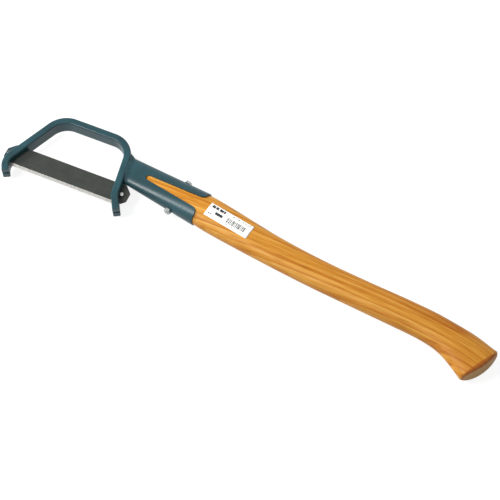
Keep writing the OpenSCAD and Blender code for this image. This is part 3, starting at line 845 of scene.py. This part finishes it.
print("socket: root at", round(ROOT_X * 1000, 1), "mm, V corner at", round(corner_y * 1000, 1), "mm")

# %% [markdown]
# Even rows would have to be many more for the same smooth corners, so the rows of the blank are spaced
# closely where the outline curves, at the V's tip and at the rounded corners, and widely in between. Each row
# is one arc of the oval, from the V's edge on the upper face round the side to the V's edge on the lower
# face. The wall's thickness is then given inwards.

# %% Roll the socket
def eased(start, stop, count, slow_start=False, slow_end=False):
    """Places from start to stop, crowded where the outline turns fast."""
    out = []
    for k in range(count):
        s = k / count
        if slow_start:
            s = 1 - math.cos(math.pi * s / 2)
        elif slow_end:
            s = math.sin(math.pi * s / 2)
        out.append(between(start, stop, s))
    return out


rows = (
    eased(ROOT_X, V_TIP_X, 10)
    + eased(V_TIP_X, edge_x, 8, slow_start=True)
    + eased(edge_x, leave_x, 16)
    + eased(leave_x, MOUTH_X, 10, slow_end=True)
    + [MOUTH_X]
)


def socket_point(side, s, nominal):
    """The outer face of one cheek: a share s of the way round its arc, at a row of the blank."""
    x = nominal
    lean = min(1.0, max(0.0, (V_TIP_X - nominal) / (V_TIP_X - ROOT_X)))
    for _ in range(3):
        a, b = (size - HAIR for size in socket_size(x))
        start = oval_turn(a, v_half(nominal))
        y, z = oval(a, b, between(start, -start, s))
        x = nominal + (bow_face_x(side * y) - ROOT_X) * lean
    return Vector((x, side * y, z))


def join(bm, other):
    """Adds the second bmesh to the first one."""
    mesh = bpy.data.meshes.new("joining")
    other.to_mesh(mesh)
    other.free()
    bm.from_mesh(mesh)
    bpy.data.meshes.remove(mesh)


cheeks = bmesh.new()
for side in (1, -1):
    join(cheeks, shaped_grid(
        32, len(rows) - 1, lambda s, t: socket_point(side, s, rows[round(t * (len(rows) - 1))]),
    ))
close_seams(cheeks)
socket_shell = finish_piece(cheeks, "socket_shell", "axe", "socket", [teal_enamel], 40)
wall = socket_shell.modifiers.new("sheet_thickness", "SOLIDIFY")
wall.thickness = WALL
wall.offset = -1
wall.use_even_offset = True
round_edges(socket_shell, 0.45 * MM, 2)

# %% [markdown]
# ## The weld
# A fillet weld runs right round the joint of the socket and the bow's leg. Under the enamel it is a soft
# hollow ramp, with lumps about 3 mm apart where the welder's arc moved on, which are strongest at the rear.
# On the broad faces it reaches up over the bar's rounded edge. A bump in the enamel wouldn't show at the
# outline, so the lumps are modelled: the weld is a closed tube, whose section is a fillet that is carried
# round the oval.

# %% Weld bead
WELD_RUN, WELD_REAR, WELD_FRONT, WELD_TOP = 6.5 * MM, 4 * MM, 1.2 * MM, 2.1 * MM
RIPPLES, RIPPLE_DEPTH, FRONT_RIPPLE = 28, 0.6 * MM, 0.2
# How fast front turns to rear, and how uneven the welder's pace is
REAR_SHARPNESS, UNEVEN, UNEVEN_SPELLS = 6, 1.5, 5
OFF_SOCKET, OFF_BOW = 0.04 * MM, 0.06 * MM
WELD_SECTION = [
    (1.0, 0.0), (0.84, 0.08), (0.64, 0.22), (0.44, 0.42), (0.24, 0.66), (0.08, 0.86), (-0.1, 0.97),
    (-0.3, 1.0), (-0.3, 0.5), (-0.1, 0.0), (0.5, 0.0),
]


def on_weld(s, t):
    """Carries a point round the oval (t) and round the fillet's section (s) to the weld's surface."""
    along, share = WELD_SECTION[round(s * len(WELD_SECTION)) % len(WELD_SECTION)]
    turn = 2 * math.pi * t
    rear = 0.5 + 0.5 * math.tanh(math.cos(turn) * REAR_SHARPNESS)
    wave = RIPPLE_DEPTH * between(FRONT_RIPPLE, 1, rear) * share * (1 - share) * 4
    wave *= math.sin(turn * RIPPLES + UNEVEN * math.sin(turn * UNEVEN_SPELLS))
    x = ROOT_X
    for _ in range(4):
        a, b = socket_size(x)
        side = share * between(WELD_FRONT, WELD_REAR, rear) + wave
        y, z = oval(a + side + OFF_SOCKET, b + share * WELD_TOP + wave + OFF_SOCKET, turn)
        x = bow_face_x(y) + along * WELD_RUN + OFF_BOW
    return Vector((x, y, z))


weld = shaped_grid(len(WELD_SECTION), 220, on_weld)
close_seams(weld)
finish_piece(weld, "weld_bead", "axe", "socket_weld", [teal_enamel], 60)

# %% [markdown]
# ## The handle
# The handle is carved, so it is one smooth form: a tongue inside the socket, a swell behind it, a slender
# waist with a gentle S-curve and a flared butt. It could be sculpted from a rough block, but a carver checks
# it with templates, and the same few sections fix it here. Each station along it gives the middle, the half
# width, the half thickness and the slant of a section, and a smooth curve runs through them.

# %% Handle stations
BUTT_A, BUTT_B, BUTT_ROUND, BUTT_DOME = 30, 14, 3.5, 4.6
WAIST_A, WAIST_B, SWELL_A, SWELL_B = 19.6, 13.6, 23.2, 15.2
START_X = MOUTH_X / MM
SPAN = BUTT_X - START_X
TONGUE_X, FIT = -62.0, 0.2
tongue_a, tongue_b = MOUTH_A / MM - WALL / MM - FIT, MOUTH_B / MM - WALL / MM - FIT
# x, middle, half width, half thickness, slant in degrees
STATIONS = [
    (START_X, 0, tongue_a, tongue_b, 0),
    (START_X + 16, -0.8, SWELL_A, SWELL_B, 0),
    (START_X + SPAN * 0.13, -2.2, SWELL_A - 0.9, SWELL_B - 0.5, 0),
    (START_X + SPAN * 0.27, -3.8, WAIST_A + 0.8, WAIST_B + 0.3, 0),
    (START_X + SPAN * 0.42, -2.9, WAIST_A + 0.1, WAIST_B, 0),
    (START_X + SPAN * 0.57, 0.5, WAIST_A + 0.2, WAIST_B, 0),
    (START_X + SPAN * 0.70, 4.2, WAIST_A + 0.8, WAIST_B, 0),
    (START_X + SPAN * 0.80, 6.1, WAIST_A + 1.1, WAIST_B, 0),
    (START_X + SPAN * 0.87, 4.3, WAIST_A + 2.4, WAIST_B + 0.2, BUTT_SLANT * 0.24),
    (START_X + SPAN * 0.93, -0.6, BUTT_A - 4.2, BUTT_B, BUTT_SLANT * 0.6),
    (BUTT_X, BUTT_MIDDLE, BUTT_A, BUTT_B, BUTT_SLANT),
]


def slope_at(i, k):
    """How fast column k changes at station i."""
    low, high = max(i - 1, 0), min(i + 1, len(STATIONS) - 1)
    return (STATIONS[high][k] - STATIONS[low][k]) / (STATIONS[high][0] - STATIONS[low][0])


def handle_at(x):
    """Middle, half width, half thickness and slant of the handle at x, all in mm and degrees."""
    i = max(k for k in range(len(STATIONS) - 1) if STATIONS[k][0] <= x or k == 0)
    a, b = STATIONS[i], STATIONS[i + 1]
    w = b[0] - a[0]
    t = (x - a[0]) / w
    return [
        a[k] * (2 * t ** 3 - 3 * t ** 2 + 1) + b[k] * (3 * t ** 2 - 2 * t ** 3)
        + w * slope_at(i, k) * (t ** 3 - 2 * t ** 2 + t) + w * slope_at(i + 1, k) * (t ** 3 - t ** 2)
        for k in range(1, 5)
    ]


def handle_ring(x, middle, half_a, half_b, slant, turn, bulge=0.0):
    """A point of one oval ring of the handle, in metres."""
    p, q = oval(half_a, half_b, turn)
    tilt = math.radians(slant)
    out = bulge * (1 - (p / (BUTT_A - BUTT_ROUND)) ** 2)
    return Vector((
        x + p * math.sin(tilt) + out * math.cos(tilt), middle + p * math.cos(tilt) - out * math.sin(tilt), q
    )) * MM


print("stations of the handle:", len(STATIONS), "over", round(SPAN, 1), "mm")

# %% [markdown]
# The rings are listed from the tongue's end to the butt. Round the butt's rim they follow a quarter circle,
# and on the end face they shrink to its middle, over the face's slight dome. The end face gets the end grain.

# %% Carve the handle
def tongue_ring(x, shrink):
    """A ring of the tongue, which follows the socket's inside with a little room."""
    a, b = (size / MM - WALL / MM - FIT - shrink for size in socket_size(x * MM))
    return (x, 0, a, b, 0, 0)


carved = [tongue_ring(TONGUE_X, 8), tongue_ring(TONGUE_X, 2), tongue_ring(TONGUE_X + 2, 0)]
carved += [tongue_ring(x, 0) for x in (-50, -36, -22, -8, 6, 20, 30)]
RING_COUNT = 56
for k in range(RING_COUNT + 1):
    x = between(START_X, BUTT_X - 2 * BUTT_ROUND, k / RING_COUNT)
    carved.append((x, *handle_at(x), 0))
for degrees in (0, 22.5, 45, 67.5, 90):
    back = BUTT_ROUND * (1 - math.sin(math.radians(degrees)))
    shrink = BUTT_ROUND * (1 - math.cos(math.radians(degrees)))
    at = (BUTT_X - BUTT_NORMAL.x * back, BUTT_MIDDLE - BUTT_NORMAL.y * back)
    carved.append((*at, BUTT_A - shrink, BUTT_B - shrink, BUTT_SLANT, BUTT_DOME))
RIM_RINGS = len(carved)
face_a, face_b = BUTT_A - BUTT_ROUND, BUTT_B - BUTT_ROUND
for share in (0.97, 0.82, 0.62, 0.42, 0.22, 0.04):
    carved.append((BUTT_X, BUTT_MIDDLE, face_a * share, face_b * share, BUTT_SLANT, BUTT_DOME))


def on_handle(s, t):
    """Carries a point round the handle (s) and along its rings (t) to its surface."""
    x, middle, a, b, slant, bulge = carved[round(t * (len(carved) - 1))]
    return handle_ring(x, middle, a, b, slant, 2 * math.pi * s, bulge)


wood = shaped_grid(56, len(carved) - 1, on_handle)
uv_layer = wood.loops.layers.uv.active
for face in wood.faces:
    row = face.loops[0][uv_layer].uv.y * (len(carved) - 1)
    face.material_index = 1 if row > RIM_RINGS - 1.5 else 0
close_seams(wood)
bmesh.ops.holes_fill(wood, edges=[e for e in wood.edges if e.is_boundary], sides=0)
for face in wood.faces:
    if len(face.verts) > 4 and face.calc_center_median().x > 0.4:
        face.material_index = 1
ash_handle = finish_piece(wood, "ash_handle", "axe", "handle", [ash, end_grain], 60)
smooth = ash_handle.modifiers.new("sanded_smooth", "SUBSURF")
smooth.levels = smooth.render_levels = 1

# %% [markdown]
# ## The label
# The paper label is a small flat sheet that was pressed onto the round top of the handle. A Shrinkwrap
# modifier would press it on too, but each point's height is known from the oval below it, so it is set
# directly. Solidify then gives the paper its thickness.

# %% Label
LABEL_L, LABEL_W, LABEL_X, LABEL_T, LABEL_LIFT = 66, 20.2, 81, 0.25, 0.06
label_turn = math.atan(slope_at(2, 1))
label_middle = handle_at(LABEL_X)[0]


def on_label(s, t):
    """Carries a point of the flat label to the handle's top."""
    along, across = (s - 0.5) * LABEL_L, (t - 0.5) * LABEL_W
    x = LABEL_X + along * math.cos(label_turn) - across * math.sin(label_turn)
    y = label_middle + along * math.sin(label_turn) + across * math.cos(label_turn)
    middle, a, b, _ = handle_at(x)
    height = b * (1 - min(1.0, abs(y - middle) / a) ** OVAL_POWER) ** (1 / OVAL_POWER)
    return Vector((x, y, height + LABEL_LIFT + LABEL_T)) * MM


paper = shaped_grid(40, 14, on_label)
paper_label = finish_piece(paper, "paper_label", "axe", "label", [label_paper], 60)
sheet = paper_label.modifiers.new("paper_thickness", "SOLIDIFY")
sheet.thickness = LABEL_T * MM
sheet.offset = -1

# %% [markdown]
# ## Bolt and nut
# One bolt goes across the socket and the tongue. Its head shows on the back edge, and its nut and a little
# thread on the cutting side. Head and nut are clean copies of the measured model's hexagons with softened
# edges. A real thread is a helix, but at this size rings look the same and close cleanly, so the thread
# outside the nut is turned, with grooves 0.8 mm apart, as on a 5 mm bolt.

# %% Fasteners
SOFT_EDGE = 0.22 * MM
head = clean_copy("through_bolt")
NUT_FACE_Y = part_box("nut")[0].y
bmesh.ops.bisect_plane(
    head, geom=head.verts[:] + head.edges[:] + head.faces[:], dist=1e-7,
    plane_co=(0, NUT_FACE_Y + 0.5 * MM, 0), plane_no=(0, -1, 0), clear_outer=True,
)
bmesh.ops.holes_fill(head, edges=[e for e in head.edges if e.is_boundary], sides=0)
soften(head, SOFT_EDGE, 2)
finish_piece(head, "bolt_head", "axe", "through_bolt", [zinc_plate], 35)

THREAD_R, THREAD_ROOT, PITCH = 2.5 * MM, 2.1 * MM, 0.8 * MM
HIDDEN_END, TIP_CHAMFER = -0.4 * MM, 0.15 * MM
TAIL = NUT_FACE_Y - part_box("through_bolt")[0].y
thread_profile = [(0, HIDDEN_END), (THREAD_R, HIDDEN_END)]
for k in range(int(TAIL / PITCH) + 1):
    foot = k * PITCH
    if foot + PITCH / 2 < TAIL:
        thread_profile += [(THREAD_R, foot), (THREAD_ROOT, foot + PITCH / 2)]
thread_profile += [(THREAD_R - TIP_CHAMFER, TAIL - TIP_CHAMFER), (THREAD_ROOT, TAIL), (0, TAIL)]
thread = turned(thread_profile, Vector((0, NUT_FACE_Y, 0)), axis=Vector((0, -1, 0)))
finish_piece(thread, "bolt_thread", "axe", "through_bolt", [zinc_plate], 35)

hexagon = clean_copy("nut")
soften(hexagon, SOFT_EDGE, 2)
finish_piece(hexagon, "hex_nut", "axe", "nut", [zinc_plate], 35)

# %% [markdown]
# ## Sizes
# The finer pieces should keep the axe's size, so the box of the measured model and the box of the visible one
# are printed side by side. They should agree to a fraction of a millimetre.

# %% Print the two boxes and finish
seen_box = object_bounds()
sizes = {
    "cad_box": [[c for c in corner] for corner in cad_box],
    "visual_box": [[c for c in corner] for corner in seen_box],
}
for name, (low, high) in sizes.items():
    print(name, "mm:", [round(c * 1000, 1) for c in low], [round(c * 1000, 1) for c in high])
